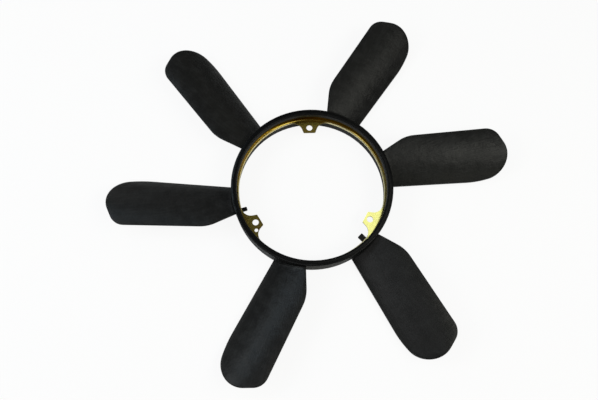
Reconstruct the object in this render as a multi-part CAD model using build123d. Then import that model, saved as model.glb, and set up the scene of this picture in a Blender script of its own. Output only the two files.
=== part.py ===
"""Engine cooling fan: a six-blade plastic moulding on a stamped steel mounting ring.

Millimetres. The origin is on the fan axis, in the front face of the three tabs. +Z points to the front.
"""
import os
from math import asin, atan, cos, degrees, radians, sin, sqrt, tan

from build123d import *

# Hub ring of the moulding
ring_inner_radius = 78.4
ring_front_wall = 5.9
ring_rear_wall = 5.1
ring_front = 14.6
ring_rear = -17.0
rim_bevel = 0.8
ring_front_radius = ring_inner_radius + ring_front_wall
ring_rear_radius = ring_inner_radius + ring_rear_wall

# Steel ring moulded into it
steel_thickness = 1.5
steel_wall_height = 8.0
steel_bend_radius = 1.0
flange_width = 1.7
seat_gap = 0.02
flange_inner_radius = ring_inner_radius - flange_width

# Tabs and holes of the steel ring
tab_count = 3
tab_first_angle = 90.0
tab_length = 13.3
tab_tip_width = 12.6
tab_side_angle = 20.0
tab_root_fillet = 10.0
tab_root_share = 0.8
tab_corner_round = 1.2
bolt_hole_inset = 5.6
bolt_hole_diameter = 6.6
locating_hole_inset = 3.7
locating_hole_diameter = 3.9
locating_hole_tab = 1
locating_hole_offset = 7.631
tab_tip_radius = flange_inner_radius - tab_length
bolt_circle_radius = tab_tip_radius + bolt_hole_inset
locating_hole_radius = flange_inner_radius - locating_hole_inset

# Blade outline, along the blade (a) and across it (b)
blade_angles = (4.5, 55.4, 127.2, 177.2, 242.1, 300.3)
root_reach = 10.4
trailing_start = -7.1
trailing_angle = -2.8
trailing_end = 169.0
tip_first_radius = 116.0
tip_first_turn = 12.1
tip_radius = 23.4
tip_turn = 107.6
tip_flat = 9.8
tip_corner_radius = 15.7
shoulder = 106.0
shoulder_radius = 36.3
shoulder_angle = 27.4
blade_root = ring_inner_radius - root_reach

# Blade surface
blade_mid = 20.0
blade_reference = 150.0
blade_height = 6.4
blade_rise = 0.023
blade_pitch = 0.429
blade_twist = -0.00139
blade_camber = 5.6
camber_half_chord = 25.0
blade_root_thickness = 3.6
blade_tip_thickness = 2.8
blade_edge_thickness = 2.2
blade_edge_bevel = 0.8
blade_root_bevel = 1.2
root_bevel_share = 0.8

# Stubs on the inner wall, each as angle, length and width
stubs = ((195.0, 7.4, 3.6), (314.0, 8.6, 5.6))
stub_height = 4.0
stub_drop = 3.0
stub_round = 0.8


def corner_at(shape, place):
    """Corner of a flat shape that is nearest to a place."""
    return shape.vertices().sort_by_distance(place)[0]


def steel_profile(grow):
    """Section of the wall and its flange, grown by a gap on the sides that the plastic covers.

    Each side of the bend is a flat that touches the bend's own arc.
    """
    outer = ring_inner_radius + steel_thickness + grow
    low = -steel_thickness - grow
    top = steel_wall_height + grow
    shape = Polygon(
        (flange_inner_radius, 0),
        (ring_inner_radius, 0),
        (ring_inner_radius, top),
        (outer, top),
        (outer, low),
        (flange_inner_radius, low),
        align=None,
    )
    flat_share = 2 - sqrt(2)
    outer_bend_radius = steel_bend_radius + steel_thickness + grow
    shape = chamfer(corner_at(shape, (ring_inner_radius, 0)), flat_share * steel_bend_radius)
    shape = chamfer(corner_at(shape, (outer, low)), flat_share * outer_bend_radius)
    return Plane.XZ * shape


def mounting_ring():
    """Stamped ring with its wall, flange, tabs and holes."""
    band = revolve(steel_profile(0), Axis.Z)
    middle = (flange_inner_radius + ring_inner_radius) / 2
    half_tip = tab_tip_width / 2
    half_root = half_tip + (middle - tab_tip_radius) * tan(radians(tab_side_angle))
    tab_shape = Polygon(
        (tab_tip_radius, -half_tip),
        (middle, -half_root),
        (middle, half_root),
        (tab_tip_radius, half_tip),
        align=None,
    )
    tab_shape = fillet(tab_shape.vertices().group_by(Axis.X)[0], tab_corner_round)
    plate = Circle(middle) - Circle(flange_inner_radius)
    step = 360 / tab_count
    for i in range(tab_count):
        plate += Rot(0, 0, tab_first_angle + i * step) * tab_shape
    roots = [v for v in plate.vertices() if abs(Vector(v).length - flange_inner_radius) < 0.01]
    plate = fillet(roots, min(tab_root_fillet, tab_root_share * tab_length))
    bolt_holes = PolarLocations(bolt_circle_radius, tab_count, tab_first_angle)
    plate -= bolt_holes * Circle(bolt_hole_diameter / 2)
    locating_turn = degrees(asin(locating_hole_offset / locating_hole_radius))
    locating_angle = tab_first_angle + locating_hole_tab * step + locating_turn
    locating = Rot(0, 0, locating_angle) * Pos(locating_hole_radius, 0)
    plate -= locating * Circle(locating_hole_diameter / 2)
    return band + extrude(plate, -steel_thickness)


def blade_outline():
    """Closed outline of one blade: straight trailing edge, round tip, straight leading edge, cut-back root."""
    slope = tan(radians(trailing_angle))
    start = (blade_root, trailing_start + (blade_root - trailing_end) * slope)
    with BuildSketch() as sketch:
        with BuildLine():
            trailing = Line(start, (trailing_end, trailing_start))
            first = JernArc(trailing @ 1, trailing % 1, tip_first_radius, tip_first_turn)
            tip = JernArc(first @ 1, first % 1, tip_radius, tip_turn)
            flat = Line(tip @ 1, tip @ 1 + (tip % 1) * tip_flat)
            turned = trailing_angle + tip_first_turn + tip_turn
            corner = JernArc(flat @ 1, flat % 1, tip_corner_radius, 180 - turned)
            shoulder_start = shoulder + shoulder_radius * tan(radians(shoulder_angle / 2))
            leading = Line(corner @ 1, (shoulder_start, (corner @ 1).Y))
            bend = JernArc(leading @ 1, leading % 1, shoulder_radius, shoulder_angle)
            run = ((bend @ 1).X - blade_root) / cos(radians(shoulder_angle))
            cut = Line(bend @ 1, bend @ 1 + (bend % 1) * run)
            Line(cut @ 1, start)
        make_face()
    return sketch.sketch


def blade_surface(a, b):
    """Height of the front surface at a point of the outline."""
    across = b - blade_mid
    pitch = blade_pitch + blade_twist * (a - blade_reference)
    rise = blade_height + blade_rise * (a - blade_reference)
    return rise + pitch * across - blade_camber * (across / camber_half_chord) ** 2


def blade_section(a, low, high, share):
    """Arched section of the blade at one distance from the axis."""
    full = blade_root_thickness + (blade_tip_thickness - blade_root_thickness) * share
    middle = (low + high) / 2
    front = []
    rear = []
    for b, thickness in ((low, blade_edge_thickness), (middle, full), (high, blade_edge_thickness)):
        step = 0.01
        lean = atan((blade_surface(a, b + step) - blade_surface(a, b - step)) / (2 * step))
        z = blade_surface(a, b)
        front.append((a, b, z))
        rear.append((a, b + thickness * sin(lean), z - thickness * cos(lean)))
    return Wire(
        [
            ThreePointArc(*front),
            Line(front[2], rear[2]),
            ThreePointArc(rear[2], rear[1], rear[0]),
            Line(rear[0], front[0]),
        ]
    )


def blade():
    """One blade along +X, ending inside the wall of the hub ring."""
    outline = blade_outline()
    box = outline.bounding_box()
    margin = 6.0
    low = box.min.Y - margin
    high = box.max.Y + margin
    root_section = blade_section(box.min.X - margin, low, high, 0)
    tip_section = blade_section(box.max.X + margin, low, high, 1)
    slab = Solid.make_loft([root_section, tip_section], ruled=True)
    reach = box.max.X - box.min.X
    body = slab & extrude(outline, reach, both=True)
    rims = body.faces().sort_by(SortBy.AREA)[-2:].edges()
    rims = [e for e in rims if (e @ 0.5).X > blade_root + blade_edge_bevel]
    body = chamfer(rims, blade_edge_bevel)
    inside = (ring_inner_radius + steel_thickness + ring_rear_radius) / 2
    return body - Cylinder(inside, reach)


def hub_ring():
    """Drafted ring with bevelled rims, without the room for the steel."""
    shape = Polygon(
        (ring_inner_radius, ring_rear),
        (ring_rear_radius, ring_rear),
        (ring_front_radius, ring_front),
        (ring_inner_radius, ring_front),
        align=None,
    )
    shape = chamfer(shape.vertices(), rim_bevel)
    return Rot(0, 0, tab_first_angle) * revolve(Plane.XZ * shape, Axis.Z)


def stub(angle, length, width):
    """Short peg that points inward from the rear part of the inner wall."""
    bite = 1.0
    bar = Box(length + bite, width, stub_height, align=(Align.MAX, Align.CENTER, Align.MAX))
    bar = fillet(bar.edges().group_by(Axis.X)[0], stub_round)
    return Rot(0, 0, angle) * Pos(ring_inner_radius + bite, 0, -stub_drop) * bar


def fan_moulding():
    """Hub ring, blades and stubs as one moulding, with the room for the steel ring."""
    ring = hub_ring()
    one = blade()
    blades = [Rot(0, 0, angle) * one for angle in blade_angles]
    body = ring + blades
    roots = new_edges(ring, *blades, combined=body)
    long_roots = [e for e in roots if e.length > 2 * blade_root_thickness]
    rim_room = min(e.bounding_box().min.Z for e in long_roots) - ring_rear - rim_bevel
    body = chamfer(long_roots, min(blade_root_bevel, root_bevel_share * rim_room))
    body -= revolve(steel_profile(seat_gap), Axis.Z)
    for angle, length, width in stubs:
        body += stub(angle, length, width)
    return body


os.makedirs("parts", exist_ok=True)
export_step(fan_moulding(), "parts/fan_moulding.step")
export_step(mounting_ring(), "parts/mounting_ring.step")
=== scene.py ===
"""Engine cooling fan: the finishes of its moulding and its steel ring, and a stage to show it on."""
import math

import bpy
from bpy.props import FloatProperty, FloatVectorProperty, PointerProperty
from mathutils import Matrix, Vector


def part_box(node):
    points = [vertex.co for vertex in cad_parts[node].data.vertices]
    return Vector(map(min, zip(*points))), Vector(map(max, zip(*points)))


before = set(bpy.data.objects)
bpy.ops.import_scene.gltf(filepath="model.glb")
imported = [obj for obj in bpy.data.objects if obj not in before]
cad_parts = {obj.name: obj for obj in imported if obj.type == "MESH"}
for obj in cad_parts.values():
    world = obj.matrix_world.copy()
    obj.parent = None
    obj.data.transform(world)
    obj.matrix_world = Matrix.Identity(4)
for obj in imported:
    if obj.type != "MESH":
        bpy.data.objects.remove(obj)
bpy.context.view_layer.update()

bl_info = {
    "name": "Engine cooling fan",
    "version": (1, 0, 0),
    "blender": (4, 5, 0),
    "location": "3D View > Sidebar > Cooling fan",
    "description": "Finishes an engine cooling fan and sets up a stage for it",
    "category": "Object",
}

# Sizes read from the frame, in metres
steel_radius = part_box("mounting_ring")[1].x
moulding_low, moulding_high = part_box("fan_moulding")
mean_radius = moulding_high.x * 0.7
floor_height = moulding_low.z

# Sides of the steel where light and shade are painted into its colour: paler yellow as a painted highlight
# on the right, painted shade on the lower left, and painted shade up the wall that starts higher on the
# upper left; turn from +X in degrees, start and end from the axis in metres
highlight_side = (-31.0, 0.039, 0.060)
shaded_side = (240.0, 0.020, 0.055)
lit_wall_side = (152.0, 0.052, 0.075)
# Share of painted shade brown on the lower left side, and how much higher the wall's painted shade starts on
# the upper left side, in metres
side_shade_share = 0.35
wall_shade_lift = 0.0028

# Painted highlight along the inner edge of the flange: its band in metres inward from the steel's outer
# radius, and its added roughness
highlight_start = 0.0022
highlight_end = 0.0025
highlight_roughness = 0.40

# Colour of the steel's reflections at a glancing angle
glancing_tint = (0.55, 0.50, 0.42, 1.0)

# Width of the change from the hub ring's black to the blades' charcoal, in metres
ring_blend = 0.0012

# Corners sharper than this stay sharp, and closer points than this are one, in metres
sharp_angle = math.radians(62)
weld_distance = 0.000002

# Shares of the floor's side where its fade to plain white starts and ends
fade_start = 0.08
fade_end = 0.40

# Soft lamps: name, turn from +X and angle above the floor in degrees, side in metres, watts, colour
neutral = (1.0, 1.0, 1.0)
cool = (0.70, 0.87, 1.0)
pale_blue = (0.91, 0.97, 1.0)
cream = (1.0, 1.0, 0.90)
warm = (1.0, 0.99, 0.80)
softboxes = (
    ("left_window", 180.0, 40.0, 0.45, 3.2, pale_blue),
    ("rear_left_window", 150.0, 55.0, 0.45, 1.8, cool),
    ("front_right_box", 330.0, 55.0, 0.45, 3.0, cream),
    ("right_box", 0.0, 45.0, 0.45, 2.0, cream),
    ("front_fill", 240.0, 70.0, 0.45, 0.9, neutral),
    ("low_left_fill", 210.0, 33.0, 0.60, 1.75, neutral),
    ("low_front_fill", 300.0, 25.0, 0.45, 0.95, warm),
    ("low_rear_fill", 120.0, 25.0, 0.45, 0.9, neutral),
    ("low_right_fill", 60.0, 40.0, 0.45, 0.4, warm),
    ("small_top_box", 40.0, 74.0, 0.28, 0.35, cream),
)


class MouldingFinish(bpy.types.PropertyGroup):
    """Black plastic of the hub ring and the blades."""

    blade_colour: FloatVectorProperty(
        name="Blade colour",
        description="Charcoal of the scuffed blades",
        subtype="COLOR",
        size=3,
        min=0.0,
        max=1.0,
        default=(0.0085, 0.0086, 0.0085),
    )
    scuff_colour: FloatVectorProperty(
        name="Scuff colour",
        description="Paler grey of rubbed plastic",
        subtype="COLOR",
        size=3,
        min=0.0,
        max=1.0,
        default=(0.0145, 0.0148, 0.0146),
    )
    ring_colour: FloatVectorProperty(
        name="Ring colour",
        description="Deeper black of the hub ring",
        subtype="COLOR",
        size=3,
        min=0.0,
        max=1.0,
        default=(0.0026, 0.0027, 0.0029),
    )
    blade_roughness: FloatProperty(
        name="Blade roughness",
        description="Roughness of the blades between the scuffs",
        subtype="FACTOR",
        min=0.0,
        max=1.0,
        default=0.36,
    )
    ring_roughness: FloatProperty(
        name="Ring roughness",
        description="Roughness of the hub ring",
        subtype="FACTOR",
        min=0.0,
        max=1.0,
        default=0.24,
    )
    specular: FloatProperty(
        name="Specular level",
        description="Strength of the plastic's reflection",
        subtype="FACTOR",
        min=0.0,
        max=1.0,
        default=0.16,
    )
    wall_roughness: FloatProperty(
        name="Wall roughness",
        description="Roughness of the hub ring's upright walls",
        subtype="FACTOR",
        min=0.0,
        max=1.0,
        default=0.55,
    )
    ring_wall: FloatProperty(
        name="Ring wall",
        description="Plastic outside the steel that counts as hub ring",
        unit="LENGTH",
        min=0.0,
        default=0.0046,
    )
    mottle_size: FloatProperty(
        name="Mottle size",
        description="Width of the cloudy patches on the blades",
        unit="LENGTH",
        min=0.0001,
        default=0.0048,
    )
    scuff_width: FloatProperty(
        name="Scuff width",
        description="Width of one scuff line",
        unit="LENGTH",
        min=0.0001,
        default=0.0011,
    )
    scuff_length: FloatProperty(
        name="Scuff length",
        description="Length of one scuff line",
        unit="LENGTH",
        min=0.001,
        default=0.022,
    )
    grain_size: FloatProperty(
        name="Grain size",
        description="Width of the fine grain of the mould",
        unit="LENGTH",
        min=0.0001,
        default=0.0006,
    )


class SteelFinish(bpy.types.PropertyGroup):
    """Zinc plate with a yellow passivate."""

    gold: FloatVectorProperty(
        name="Gold",
        description="Main colour of the passivate",
        subtype="COLOR",
        size=3,
        min=0.0,
        max=1.0,
        default=(0.70, 0.54, 0.11),
    )
    olive: FloatVectorProperty(
        name="Olive",
        description="Greener bloom in the passivate",
        subtype="COLOR",
        size=3,
        min=0.0,
        max=1.0,
        default=(0.52, 0.46, 0.09),
    )
    amber: FloatVectorProperty(
        name="Amber",
        description="Redder bloom in the passivate",
        subtype="COLOR",
        size=3,
        min=0.0,
        max=1.0,
        default=(0.64, 0.42, 0.09),
    )
    # Painted shade: brown up the wall towards the plastic, and in part on the lower left side.
    brown: FloatVectorProperty(
        name="Brown",
        description="Painted shade on the upper part of the wall, next to the plastic",
        subtype="COLOR",
        size=3,
        min=0.0,
        max=1.0,
        default=(0.030, 0.019, 0.005),
    )
    # Painted shade: orange brown in the middle of the wall's painted shade.
    shade_orange: FloatVectorProperty(
        name="Shade orange",
        description="Orange brown between the gold and the brown of the wall",
        subtype="COLOR",
        size=3,
        min=0.0,
        max=1.0,
        default=(0.20, 0.105, 0.022),
    )
    # Painted highlight: paler yellow on the right side.
    pale_highlight: FloatVectorProperty(
        name="Pale highlight",
        description="Paler yellow painted on the right side as a highlight",
        subtype="COLOR",
        size=3,
        min=0.0,
        max=1.0,
        default=(0.82, 0.81, 0.30),
    )
    tab_edge: FloatVectorProperty(
        name="Tab edge",
        description="Dull cut edges of the tabs and their holes",
        subtype="COLOR",
        size=3,
        min=0.0,
        max=1.0,
        default=(0.20, 0.17, 0.08),
    )
    # Painted highlight: pale colour on the inner edge of the flange.
    edge_highlight: FloatVectorProperty(
        name="Edge highlight",
        description="Pale colour painted on the flange's inner edge as a highlight",
        subtype="COLOR",
        size=3,
        min=0.0,
        max=1.0,
        default=(1.0, 0.93, 0.62),
    )
    # Heights of the painted shade up the wall.
    painted_shade_low: FloatProperty(
        name="Painted shade start",
        description="Height above the tabs where the wall starts to turn brown",
        unit="LENGTH",
        default=0.0001,
    )
    painted_shade_high: FloatProperty(
        name="Painted shade end",
        description="Height above the tabs where the wall is brown",
        unit="LENGTH",
        default=0.0028,
    )
    roughness: FloatProperty(
        name="Roughness",
        description="Roughness of the plate",
        subtype="FACTOR",
        min=0.0,
        max=1.0,
        default=0.20,
    )
    bloom_size: FloatProperty(
        name="Bloom size",
        description="Width of the patches of colour",
        unit="LENGTH",
        min=0.001,
        default=0.014,
    )
    spangle_size: FloatProperty(
        name="Spangle size",
        description="Width of the zinc's fine grain",
        unit="LENGTH",
        min=0.0001,
        default=0.0009,
    )


class StageSettings(bpy.types.PropertyGroup):
    """Floor, lamps and camera."""

    floor_size: FloatProperty(
        name="Floor size",
        description="Side of the square floor",
        unit="LENGTH",
        min=1.0,
        default=6.0,
    )
    floor_colour: FloatVectorProperty(
        name="Floor colour",
        description="Pale floor",
        subtype="COLOR",
        size=3,
        min=0.0,
        max=1.0,
        default=(0.93, 0.93, 0.93),
    )
    floor_glow: FloatProperty(
        name="Floor glow",
        description="Share of plain white that the camera sees in the floor",
        subtype="FACTOR",
        min=0.0,
        max=1.0,
        default=0.90,
    )
    floor_mirror_glow: FloatProperty(
        name="Floor glow in reflections",
        description="Share of plain white that reflections see in the floor",
        subtype="FACTOR",
        min=0.0,
        max=1.0,
        default=0.15,
    )
    room_light: FloatProperty(
        name="Room light",
        description="Strength of the light from all round",
        min=0.0,
        default=0.08,
    )
    lamp_distance: FloatProperty(
        name="Lamp distance",
        description="Distance of the soft lamps from the middle of the fan",
        unit="LENGTH",
        min=0.1,
        default=1.15,
    )
    camera_place: FloatVectorProperty(
        name="Camera place",
        description="Where the camera stands",
        subtype="TRANSLATION",
        unit="LENGTH",
        size=3,
        default=(-0.03509, -0.18093, 0.63942),
    )
    camera_turn: FloatVectorProperty(
        name="Camera turn",
        description="How the camera is turned",
        subtype="EULER",
        unit="ROTATION",
        size=3,
        default=(math.radians(14.8683), math.radians(-1.4154), math.radians(-1.8338)),
    )
    camera_lens: FloatProperty(
        name="Camera lens",
        description="Focal length in millimetres on a sensor 36 mm wide",
        min=1.0,
        default=37.91,
    )


def clear_selection():
    """Deselects everything, so that an operator acts only on what it adds."""
    if bpy.context.object and bpy.context.object.mode != "OBJECT":
        bpy.ops.object.mode_set(mode="OBJECT")
    bpy.ops.object.select_all(action="DESELECT")


def cad_node(name):
    """Object of a CAD node, or an error that stops the operator."""
    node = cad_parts.get(name)
    if node is None:
        raise RuntimeError(f"the frame has no node named {name}")
    return node


def new_material(name):
    """Empty node material with its output."""
    material = bpy.data.materials.new(name)
    material.use_nodes = True
    material.node_tree.nodes.clear()
    output = material.node_tree.nodes.new("ShaderNodeOutputMaterial")
    return material, material.node_tree, output


def add_node(tree, kind, inputs=None, **settings):
    """Adds a node, sets its options, and sets or links its inputs by name or number."""
    node = tree.nodes.new(kind)
    for key, value in settings.items():
        setattr(node, key, value)
    for key, value in (inputs or {}).items():
        socket = node.inputs[key]
        if isinstance(value, bpy.types.NodeSocket):
            tree.links.new(value, socket)
        else:
            socket.default_value = value
    return node


def maths(tree, operation, *values):
    """Number worked out from one, two or three numbers."""
    return add_node(tree, "ShaderNodeMath", dict(enumerate(values)), operation=operation).outputs[0]


def ramp_between(tree, value, start, end, low=0.0, high=1.0):
    """Number that goes smoothly from low to high while value goes from start to end."""
    inputs = {"Value": value, "From Min": start, "From Max": end, "To Min": low, "To Max": high}
    node = add_node(tree, "ShaderNodeMapRange", inputs, interpolation_type="SMOOTHSTEP")
    return node.outputs["Result"]


def noise(tree, vector, size, detail=3.0, roughness=0.55, distortion=0.0):
    """Cloudy noise whose patches are about the given size across."""
    inputs = {
        "Vector": vector,
        "Scale": 0.5 / size,
        "Detail": detail,
        "Roughness": roughness,
        "Distortion": distortion,
    }
    return add_node(tree, "ShaderNodeTexNoise", inputs).outputs["Fac"]


def mix_colours(tree, share, first, second):
    """Colour between two colours."""
    node = add_node(tree, "ShaderNodeMix", data_type="RGBA")
    for key, value in ((0, share), (6, first), (7, second)):
        if isinstance(value, bpy.types.NodeSocket):
            tree.links.new(value, node.inputs[key])
        else:
            node.inputs[key].default_value = value
    return node.outputs[2]


def soften_bevels(piece):
    """Shades the bevels as rounds, and leaves the sharp corners sharp."""
    weld = piece.modifiers.new("weld", "WELD")
    weld.merge_threshold = weld_distance
    corners = piece.modifiers.new("corners", "EDGE_SPLIT")
    corners.split_angle = sharp_angle
    corners.use_edge_sharp = False
    shade = piece.modifiers.new("shade", "WEIGHTED_NORMAL")
    shade.mode = "FACE_AREA"
    shade.weight = 50
    shade.keep_sharp = False


def opaque(colour):
    """Colour with its alpha."""
    return (*colour, 1.0)


def axis_radius(tree, place):
    """Distance from the fan's axis."""
    flat = add_node(tree, "ShaderNodeVectorMath", {0: place, 1: (1.0, 1.0, 0.0)}, operation="MULTIPLY")
    length = add_node(tree, "ShaderNodeVectorMath", {0: flat.outputs[0]}, operation="LENGTH")
    return length.outputs["Value"]


def towards(tree, place, turn):
    """Distance from the axis in one direction, given by its turn from +X in degrees."""
    way = (math.cos(math.radians(turn)), math.sin(math.radians(turn)), 0.0)
    product = add_node(tree, "ShaderNodeVectorMath", {0: place, 1: way}, operation="DOT_PRODUCT")
    return product.outputs["Value"]


def blade_place(tree, place, radius, along, across):
    """Place measured outward and round the axis, in scuff lengths and widths."""
    parts = add_node(tree, "ShaderNodeSeparateXYZ", {0: place})
    angle = maths(tree, "ARCTAN2", parts.outputs["Y"], parts.outputs["X"])
    outward = maths(tree, "DIVIDE", radius, along)
    round_axis = maths(tree, "MULTIPLY", angle, mean_radius / across)
    inputs = {"X": outward, "Y": round_axis, "Z": maths(tree, "DIVIDE", parts.outputs["Z"], along)}
    return add_node(tree, "ShaderNodeCombineXYZ", inputs).outputs[0]


def moulding_material(finish):
    """Charcoal plastic: scuffed, cloudy blades and a smoother, deeper black hub ring."""
    material, tree, output = new_material("black_moulding")
    coordinates = add_node(tree, "ShaderNodeTexCoord")
    place = coordinates.outputs["Object"]
    radius = axis_radius(tree, place)
    ring_edge = steel_radius + finish.ring_wall
    on_ring = ramp_between(tree, radius, ring_edge + ring_blend, ring_edge)
    on_blade = maths(tree, "SUBTRACT", 1.0, on_ring)

    mottle = noise(tree, place, finish.mottle_size, detail=2.5, roughness=0.55)
    cloud = noise(tree, place, finish.mottle_size * 7, detail=2.0)
    grain = noise(tree, place, finish.grain_size, detail=2.0)
    lengthwise = blade_place(tree, place, radius, finish.scuff_length, finish.scuff_width)
    crosswise = blade_place(tree, place, radius, finish.scuff_width, finish.scuff_length)
    along_scuffs = noise(tree, lengthwise, 0.5, detail=2.0)
    across_scuffs = noise(tree, crosswise, 0.5, detail=2.0)
    scuffs = maths(tree, "MAXIMUM", along_scuffs, maths(tree, "MULTIPLY", across_scuffs, 0.85))

    # Share of the paler scuff colour on the blades: real wear, no painted light.
    wear_and_highlight = maths(tree, "ADD", maths(tree, "MULTIPLY", mottle, 0.5), maths(tree, "MULTIPLY", scuffs, 0.5))
    wear_and_highlight = ramp_between(tree, wear_and_highlight, 0.42, 0.72)
    blade_colour = mix_colours(tree, wear_and_highlight, opaque(finish.blade_colour), opaque(finish.scuff_colour))
    colour = mix_colours(tree, on_ring, blade_colour, opaque(finish.ring_colour))

    patchy = maths(tree, "ADD", maths(tree, "MULTIPLY", cloud, 0.5), maths(tree, "MULTIPLY", mottle, 0.5))
    blade_rough = ramp_between(
        tree, patchy, 0.30, 0.70, finish.blade_roughness - 0.06, finish.blade_roughness + 0.10
    )
    facing = add_node(tree, "ShaderNodeSeparateXYZ", {0: coordinates.outputs["Normal"]}).outputs["Z"]
    ring_rough = ramp_between(
        tree, maths(tree, "ABSOLUTE", facing), 0.2, 0.9, finish.wall_roughness, finish.ring_roughness
    )
    rough_mix = add_node(tree, "ShaderNodeMix", data_type="FLOAT")
    tree.links.new(on_ring, rough_mix.inputs[0])
    tree.links.new(blade_rough, rough_mix.inputs[2])
    tree.links.new(ring_rough, rough_mix.inputs[3])

    relief = maths(tree, "ADD", mottle, maths(tree, "MULTIPLY", scuffs, 0.35))
    relief = maths(tree, "MULTIPLY", relief, on_blade)
    coarse = add_node(tree, "ShaderNodeBump", {"Height": relief, "Strength": 0.6, "Distance": 0.0008})
    fine = add_node(
        tree,
        "ShaderNodeBump",
        {"Height": grain, "Strength": 0.20, "Distance": 0.00006, "Normal": coarse.outputs[0]},
    )
    shader = add_node(
        tree,
        "ShaderNodeBsdfPrincipled",
        {
            "Base Color": colour,
            "Roughness": rough_mix.outputs[0],
            "Specular IOR Level": finish.specular,
            "Normal": fine.outputs[0],
        },
    )
    tree.links.new(shader.outputs[0], output.inputs["Surface"])
    return material


def steel_material(finish):
    """Bright zinc under a gold passivate that blooms, with painted shade that turns the wall brown up
    towards the plastic and on the lower left, and painted highlights as paler yellow on the right and a pale
    band at the flange's inner edge.
    """
    material, tree, output = new_material("passivated_zinc")
    coordinates = add_node(tree, "ShaderNodeTexCoord")
    place = coordinates.outputs["Object"]
    bloom = noise(tree, place, finish.bloom_size, detail=3.0, distortion=0.6)
    spangle = noise(tree, place, finish.spangle_size, detail=3.0)
    greener = ramp_between(tree, bloom, 0.52, 0.70)
    redder = ramp_between(tree, bloom, 0.48, 0.30)
    colour = mix_colours(tree, greener, opaque(finish.gold), opaque(finish.olive))
    colour = mix_colours(tree, redder, colour, opaque(finish.amber))
    split = add_node(tree, "ShaderNodeSeparateXYZ", {0: place})
    height = split.outputs["Z"]
    # Painted highlight: paler yellow on the right side, over the right tab.
    turn, start, end = highlight_side
    pale_highlight = ramp_between(tree, towards(tree, place, turn), start, end)
    colour = mix_colours(tree, pale_highlight, colour, opaque(finish.pale_highlight))
    # Painted shade: the lower left side is mixed partly towards the brown.
    turn, start, end = shaded_side
    side_shade = ramp_between(tree, towards(tree, place, turn), start, end, 0.0, side_shade_share)
    colour = mix_colours(tree, side_shade, colour, opaque(finish.brown))

    # Painted shade up the wall towards the plastic, orange brown then brown, with a blotchy edge; it starts
    # higher on the upper left side.
    turn, start, end = lit_wall_side
    lowered = ramp_between(tree, towards(tree, place, turn), start, end, 0.0, -wall_shade_lift)
    height_in_shade = maths(tree, "ADD", height, lowered)
    uneven = maths(tree, "MULTIPLY_ADD", bloom, finish.painted_shade_high * 0.5, height_in_shade)
    start = finish.painted_shade_low + finish.painted_shade_high * 0.25
    middle = finish.painted_shade_low + finish.painted_shade_high * 0.50
    half_shaded = ramp_between(tree, uneven, start, middle)
    colour = mix_colours(tree, half_shaded, colour, opaque(finish.shade_orange))
    fully_shaded = ramp_between(tree, uneven, middle, finish.painted_shade_high * 1.25)
    colour = mix_colours(tree, fully_shaded, colour, opaque(finish.brown))

    facing = add_node(tree, "ShaderNodeSeparateXYZ", {0: coordinates.outputs["Normal"]}).outputs["Z"]
    upright = ramp_between(tree, maths(tree, "ABSOLUTE", facing), 0.5, 0.2)
    below_tabs = ramp_between(tree, height, 0.0001, -0.0001)
    cut = maths(tree, "MULTIPLY", upright, below_tabs)
    colour = mix_colours(tree, cut, colour, opaque(finish.tab_edge))

    # Painted highlight: a pale, rougher band along the flange's inner edge, between the tabs.
    angle = maths(tree, "ARCTAN2", split.outputs["Y"], split.outputs["X"])
    from_tabs = maths(tree, "COSINE", maths(tree, "MULTIPLY_ADD", angle, 3.0, -1.5 * math.pi))
    between_tabs = ramp_between(tree, from_tabs, 0.85, 0.60)
    rim = ramp_between(tree, axis_radius(tree, place), steel_radius - highlight_start, steel_radius - highlight_end)
    below_wall = ramp_between(tree, height, 0.0002, 0.0001)
    wear_and_highlight = maths(tree, "MULTIPLY", maths(tree, "MULTIPLY", rim, between_tabs), below_wall)
    colour = mix_colours(tree, wear_and_highlight, colour, opaque(finish.edge_highlight))

    smooth = ramp_between(tree, spangle, 0.30, 0.70, finish.roughness - 0.02, finish.roughness + 0.03)
    rough = maths(tree, "MULTIPLY_ADD", wear_and_highlight, highlight_roughness, smooth)
    bump = add_node(tree, "ShaderNodeBump", {"Height": spangle, "Strength": 0.04, "Distance": 0.00005})
    shader = add_node(
        tree,
        "ShaderNodeBsdfPrincipled",
        {
            "Base Color": colour,
            "Metallic": 1.0,
            "Roughness": rough,
            "Specular Tint": glancing_tint,
            "Normal": bump.outputs[0],
        },
    )
    tree.links.new(shader.outputs[0], output.inputs["Surface"])
    return material


def floor_material(stage):
    """Pale floor that keeps the shadow, and fades to plain white away from the fan."""
    material, tree, output = new_material("pale_floor")
    paths = add_node(tree, "ShaderNodeLightPath")
    away = axis_radius(tree, add_node(tree, "ShaderNodeTexCoord").outputs["Object"])
    near = stage.floor_size * fade_start
    far = stage.floor_size * fade_end
    glow = ramp_between(tree, away, near, far, stage.floor_glow, 1.0)
    mirrored = maths(tree, "MAXIMUM", paths.outputs["Is Glossy Ray"], paths.outputs["Is Transmission Ray"])
    share = maths(
        tree,
        "MAXIMUM",
        maths(tree, "MULTIPLY", paths.outputs["Is Camera Ray"], glow),
        maths(tree, "MULTIPLY", mirrored, stage.floor_mirror_glow),
    )
    matt = add_node(tree, "ShaderNodeBsdfDiffuse", {"Color": opaque(stage.floor_colour)})
    white = add_node(tree, "ShaderNodeEmission", {"Color": opaque(neutral), "Strength": 1.0})
    top = add_node(tree, "ShaderNodeMixShader", {0: share, 1: matt.outputs[0], 2: white.outputs[0]})
    clear = add_node(tree, "ShaderNodeBsdfTransparent")
    below = add_node(tree, "ShaderNodeNewGeometry").outputs["Backfacing"]
    both = add_node(tree, "ShaderNodeMixShader", {0: below, 1: top.outputs[0], 2: clear.outputs[0]})
    tree.links.new(both.outputs[0], output.inputs["Surface"])
    return material


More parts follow.
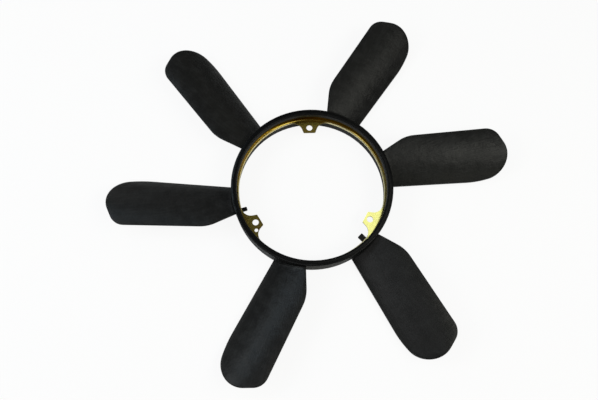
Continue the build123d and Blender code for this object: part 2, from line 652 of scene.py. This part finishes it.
def light_world(stage):
    """Dim room light, with a background that is white to the camera."""
    world = bpy.data.worlds.new("studio")
    bpy.context.scene.world = world
    world.use_nodes = True
    tree = world.node_tree
    tree.nodes.clear()
    output = tree.nodes.new("ShaderNodeOutputWorld")
    paths = add_node(tree, "ShaderNodeLightPath")
    seen = maths(tree, "MAXIMUM", paths.outputs["Is Camera Ray"], paths.outputs["Is Transmission Ray"])
    plain = opaque(neutral)
    room = add_node(tree, "ShaderNodeBackground", {"Color": plain, "Strength": stage.room_light})
    white = add_node(tree, "ShaderNodeBackground", {"Color": plain, "Strength": 1.0})
    mixed = add_node(tree, "ShaderNodeMixShader", {0: seen, 1: room.outputs[0], 2: white.outputs[0]})
    tree.links.new(mixed.outputs[0], output.inputs["Surface"])


def add_softbox(name, turn, height, distance, size, watts, colour):
    """Square soft lamp that faces the fan, placed by its turn round the axis and its height angle."""
    turn = math.radians(turn)
    height = math.radians(height)
    flat = math.cos(height)
    place = Vector((flat * math.cos(turn), flat * math.sin(turn), math.sin(height)))
    clear_selection()
    bpy.ops.object.light_add(type="AREA", location=place * distance)
    lamp = bpy.context.object
    lamp.name = name
    lamp.rotation_euler = (-place).to_track_quat("-Z", "Y").to_euler()
    lamp.data.size = size
    lamp.data.energy = watts
    lamp.data.color = colour


class COOLING_FAN_OT_moulding(bpy.types.Operator):
    """Gives the moulding its black plastic"""

    bl_idname = "cooling_fan.moulding"
    bl_label = "Finish the moulding"

    def execute(self, context):
        piece = cad_node("fan_moulding")
        piece.data.materials.clear()
        piece.data.materials.append(moulding_material(context.scene.fan_moulding))
        soften_bevels(piece)
        return {"FINISHED"}


class COOLING_FAN_OT_mounting_ring(bpy.types.Operator):
    """Gives the steel ring its yellow passivate"""

    bl_idname = "cooling_fan.mounting_ring"
    bl_label = "Finish the steel ring"

    def execute(self, context):
        piece = cad_node("mounting_ring")
        piece.data.materials.clear()
        piece.data.materials.append(steel_material(context.scene.fan_steel))
        return {"FINISHED"}


class COOLING_FAN_OT_stage(bpy.types.Operator):
    """Adds the floor, the lamps and the camera"""

    bl_idname = "cooling_fan.stage"
    bl_label = "Set the stage"

    def execute(self, context):
        stage = context.scene.fan_stage
        context.scene.view_settings.view_transform = "Standard"
        clear_selection()
        bpy.ops.mesh.primitive_plane_add(size=stage.floor_size, location=(0.0, 0.0, floor_height))
        floor = context.object
        floor.name = "floor"
        floor.data.materials.append(floor_material(stage))
        light_world(stage)
        for name, turn, height, size, watts, colour in softboxes:
            add_softbox(name, turn, height, stage.lamp_distance, size, watts, colour)
        clear_selection()
        bpy.ops.object.camera_add(location=stage.camera_place, rotation=stage.camera_turn)
        camera = context.object
        camera.data.lens = stage.camera_lens
        camera.data.sensor_width = 36.0
        camera.data.clip_start = 0.01
        context.scene.camera = camera
        return {"FINISHED"}


class COOLING_FAN_PT_panel(bpy.types.Panel):
    """Lists the pieces of the fan and their settings"""

    bl_idname = "COOLING_FAN_PT_panel"
    bl_label = "Cooling fan"
    bl_space_type = "VIEW_3D"
    bl_region_type = "UI"
    bl_category = "Cooling fan"

    def draw(self, context):
        groups = (
            (COOLING_FAN_OT_moulding, context.scene.fan_moulding),
            (COOLING_FAN_OT_mounting_ring, context.scene.fan_steel),
            (COOLING_FAN_OT_stage, context.scene.fan_stage),
        )
        for operator, settings in groups:
            box = self.layout.box()
            box.operator(operator.bl_idname)
            for key in settings.__annotations__:
                box.prop(settings, key)


classes = (
    MouldingFinish,
    SteelFinish,
    StageSettings,
    COOLING_FAN_OT_moulding,
    COOLING_FAN_OT_mounting_ring,
    COOLING_FAN_OT_stage,
    COOLING_FAN_PT_panel,
)


def register():
    """Registers the classes and gives the scene their settings."""
    for cls in classes:
        bpy.utils.register_class(cls)
    bpy.types.Scene.fan_moulding = PointerProperty(type=MouldingFinish)
    bpy.types.Scene.fan_steel = PointerProperty(type=SteelFinish)
    bpy.types.Scene.fan_stage = PointerProperty(type=StageSettings)


def unregister():
    """Takes away what register added."""
    del bpy.types.Scene.fan_stage
    del bpy.types.Scene.fan_steel
    del bpy.types.Scene.fan_moulding
    for cls in reversed(classes):
        bpy.utils.unregister_class(cls)


def main():
    """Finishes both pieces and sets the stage."""
    register()
    bpy.ops.cooling_fan.moulding()
    bpy.ops.cooling_fan.mounting_ring()
    bpy.ops.cooling_fan.stage()


if __name__ == "__main__":
    main()
